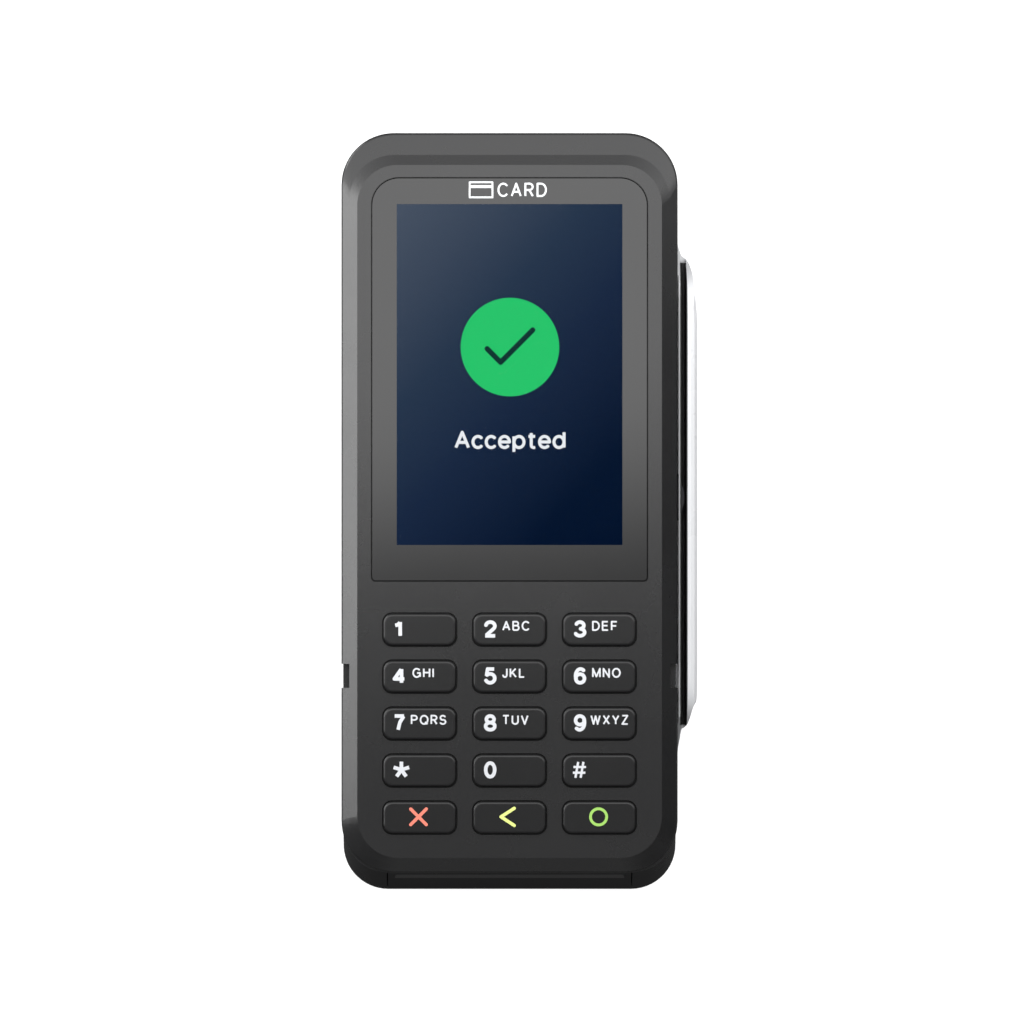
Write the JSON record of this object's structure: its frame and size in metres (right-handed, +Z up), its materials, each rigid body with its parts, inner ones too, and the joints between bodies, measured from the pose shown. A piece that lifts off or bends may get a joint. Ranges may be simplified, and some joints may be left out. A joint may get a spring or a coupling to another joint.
{
  "type": "card payment terminal",
  "caption": "Countertop card payment terminal with colour display, keypad, front chip-card slot and side swipe groove, leaning back to the rear",
  "frame": {"origin": "middle of the bounding box at the height of the feet", "axes": "+X right as the user sees it, +Y away from the user, +Z up"},
  "size_m": [0.0874, 0.1828, 0.0427],
  "materials": {
    "body": "dark grey, fine grain, low sheen",
    "bezel": "dark grey, fine grain",
    "lens": "glossy hard-coated cover, black printed border",
    "adhesive": "black foam tape",
    "display": "colour display, lit",
    "steel": "pressed sheet",
    "flex": "amber polyimide film",
    "ferrite": "dark sheet",
    "silicone": "moulded silicone",
    "board": "green solder mask",
    "gold": "gold-plated contacts",
    "black_plastic": "black moulded",
    "white_plastic": "white moulded",
    "rail": "pale grey, satin gloss",
    "screws": "dark zinc",
    "head": "dark plated can, worn at the gap",
    "feet": "soft rubber",
    "label": "silver-grey, blank",
    "brass": "knurled insert",
    "keys": "dark grey caps with printed legends"
  },
  "bodies": {
    "housing": {"upper_housing": "body", "lower_housing": "body", "card_slot_bezel": "bezel", "display_lens": "lens", "lens_adhesive": "adhesive", "display_panel": "display", "display_backlight": "steel", "display_bracket": "steel", "contactless_antenna": "flex", "ferrite_sheet": "ferrite", "display_flex": "flex", "keypad_flex": "flex", "keypad_mat": "silicone", "contact_domes": "steel", "keypad_board": "board", "card_contacts": "gold", "card_reader_cover": "black_plastic", "card_reader_base": "black_plastic", "card_switch_body": "black_plastic", "main_board": "board", "processor_shield": "steel", "board_chips": "black_plastic", "board_connectors": "white_plastic", "battery_holder": "black_plastic", "backup_battery": "steel", "speaker": "black_plastic", "swipe_rail": "rail", "swipe_liner": "black_plastic", "head_spring": "steel", "port_connector": "black_plastic", "port_board": "board", "service_door": "body", "service_door_screw": "screws", "sam_board": "board", "sam_sockets": "black_plastic", "rubber_feet": "feet", "rating_label": "label", "mounting_inserts": "brass", "case_screws": "screws", "board_screws": "screws"},
    "card_switch_plunger": {"card_switch_plunger": "white_plastic"},
    "key_0": {"key_0": "keys"},
    "key_1": {"key_1": "keys"},
    "key_2": {"key_2": "keys"},
    "key_3": {"key_3": "keys"},
    "key_4": {"key_4": "keys"},
    "key_5": {"key_5": "keys"},
    "key_6": {"key_6": "keys"},
    "key_7": {"key_7": "keys"},
    "key_8": {"key_8": "keys"},
    "key_9": {"key_9": "keys"},
    "key_cancel": {"key_cancel": "keys"},
    "key_clear": {"key_clear": "keys"},
    "key_enter": {"key_enter": "keys"},
    "key_hash": {"key_hash": "keys"},
    "key_star": {"key_star": "keys"},
    "mag_head": {"mag_head": "head"}
  },
  "joints": [
    {"name": "press_1", "type": "slide", "parent": "housing", "child": "key_1", "axis": [0, 0.1219, -0.9925], "range_m": [0, 0.0009], "stiffness_N_per_m": 600, "springref_m": -0.0008, "deforming": ["keypad_mat"]},
    {"name": "press_2", "type": "slide", "parent": "housing", "child": "key_2", "axis": [0, 0.1219, -0.9925], "range_m": [0, 0.0009], "stiffness_N_per_m": 600, "springref_m": -0.0008, "deforming": ["keypad_mat"]},
    {"name": "press_3", "type": "slide", "parent": "housing", "child": "key_3", "axis": [0, 0.1219, -0.9925], "range_m": [0, 0.0009], "stiffness_N_per_m": 600, "springref_m": -0.0008, "deforming": ["keypad_mat"]},
    {"name": "press_4", "type": "slide", "parent": "housing", "child": "key_4", "axis": [0, 0.1219, -0.9925], "range_m": [0, 0.0009], "stiffness_N_per_m": 600, "springref_m": -0.0008, "deforming": ["keypad_mat"]},
    {"name": "press_5", "type": "slide", "parent": "housing", "child": "key_5", "axis": [0, 0.1219, -0.9925], "range_m": [0, 0.0009], "stiffness_N_per_m": 600, "springref_m": -0.0008, "deforming": ["keypad_mat"]},
    {"name": "press_6", "type": "slide", "parent": "housing", "child": "key_6", "axis": [0, 0.1219, -0.9925], "range_m": [0, 0.0009], "stiffness_N_per_m": 600, "springref_m": -0.0008, "deforming": ["keypad_mat"]},
    {"name": "press_7", "type": "slide", "parent": "housing", "child": "key_7", "axis": [0, 0.1219, -0.9925], "range_m": [0, 0.0009], "stiffness_N_per_m": 600, "springref_m": -0.0008, "deforming": ["keypad_mat"]},
    {"name": "press_8", "type": "slide", "parent": "housing", "child": "key_8", "axis": [0, 0.1219, -0.9925], "range_m": [0, 0.0009], "stiffness_N_per_m": 600, "springref_m": -0.0008, "deforming": ["keypad_mat"]},
    {"name": "press_9", "type": "slide", "parent": "housing", "child": "key_9", "axis": [0, 0.1219, -0.9925], "range_m": [0, 0.0009], "stiffness_N_per_m": 600, "springref_m": -0.0008, "deforming": ["keypad_mat"]},
    {"name": "press_star", "type": "slide", "parent": "housing", "child": "key_star", "axis": [0, 0.1219, -0.9925], "range_m": [0, 0.0009], "stiffness_N_per_m": 600, "springref_m": -0.0008, "deforming": ["keypad_mat"]},
    {"name": "press_0", "type": "slide", "parent": "housing", "child": "key_0", "axis": [0, 0.1219, -0.9925], "range_m": [0, 0.0009], "stiffness_N_per_m": 600, "springref_m": -0.0008, "deforming": ["keypad_mat"]},
    {"name": "press_hash", "type": "slide", "parent": "housing", "child": "key_hash", "axis": [0, 0.1219, -0.9925], "range_m": [0, 0.0009], "stiffness_N_per_m": 600, "springref_m": -0.0008, "deforming": ["keypad_mat"]},
    {"name": "press_cancel", "type": "slide", "parent": "housing", "child": "key_cancel", "axis": [0, 0.1219, -0.9925], "range_m": [0, 0.0009], "stiffness_N_per_m": 600, "springref_m": -0.0008, "deforming": ["keypad_mat"]},
    {"name": "press_clear", "type": "slide", "parent": "housing", "child": "key_clear", "axis": [0, 0.1219, -0.9925], "range_m": [0, 0.0009], "stiffness_N_per_m": 600, "springref_m": -0.0008, "deforming": ["keypad_mat"]},
    {"name": "press_enter", "type": "slide", "parent": "housing", "child": "key_enter", "axis": [0, 0.1219, -0.9925], "range_m": [0, 0.0009], "stiffness_N_per_m": 600, "springref_m": -0.0008, "deforming": ["keypad_mat"]},
    {"name": "head_give", "type": "slide", "parent": "housing", "child": "mag_head", "axis": [-1, 0, 0], "range_m": [0, 0.0008], "stiffness_N_per_m": 1500, "springref_m": -0.0006, "deforming": ["head_spring"]},
    {"name": "card_switch", "type": "slide", "parent": "housing", "child": "card_switch_plunger", "axis": [0, 0.9925, 0.1219], "range_m": [0, 0.0015], "stiffness_N_per_m": 200, "springref_m": -0.001}
  ]
}
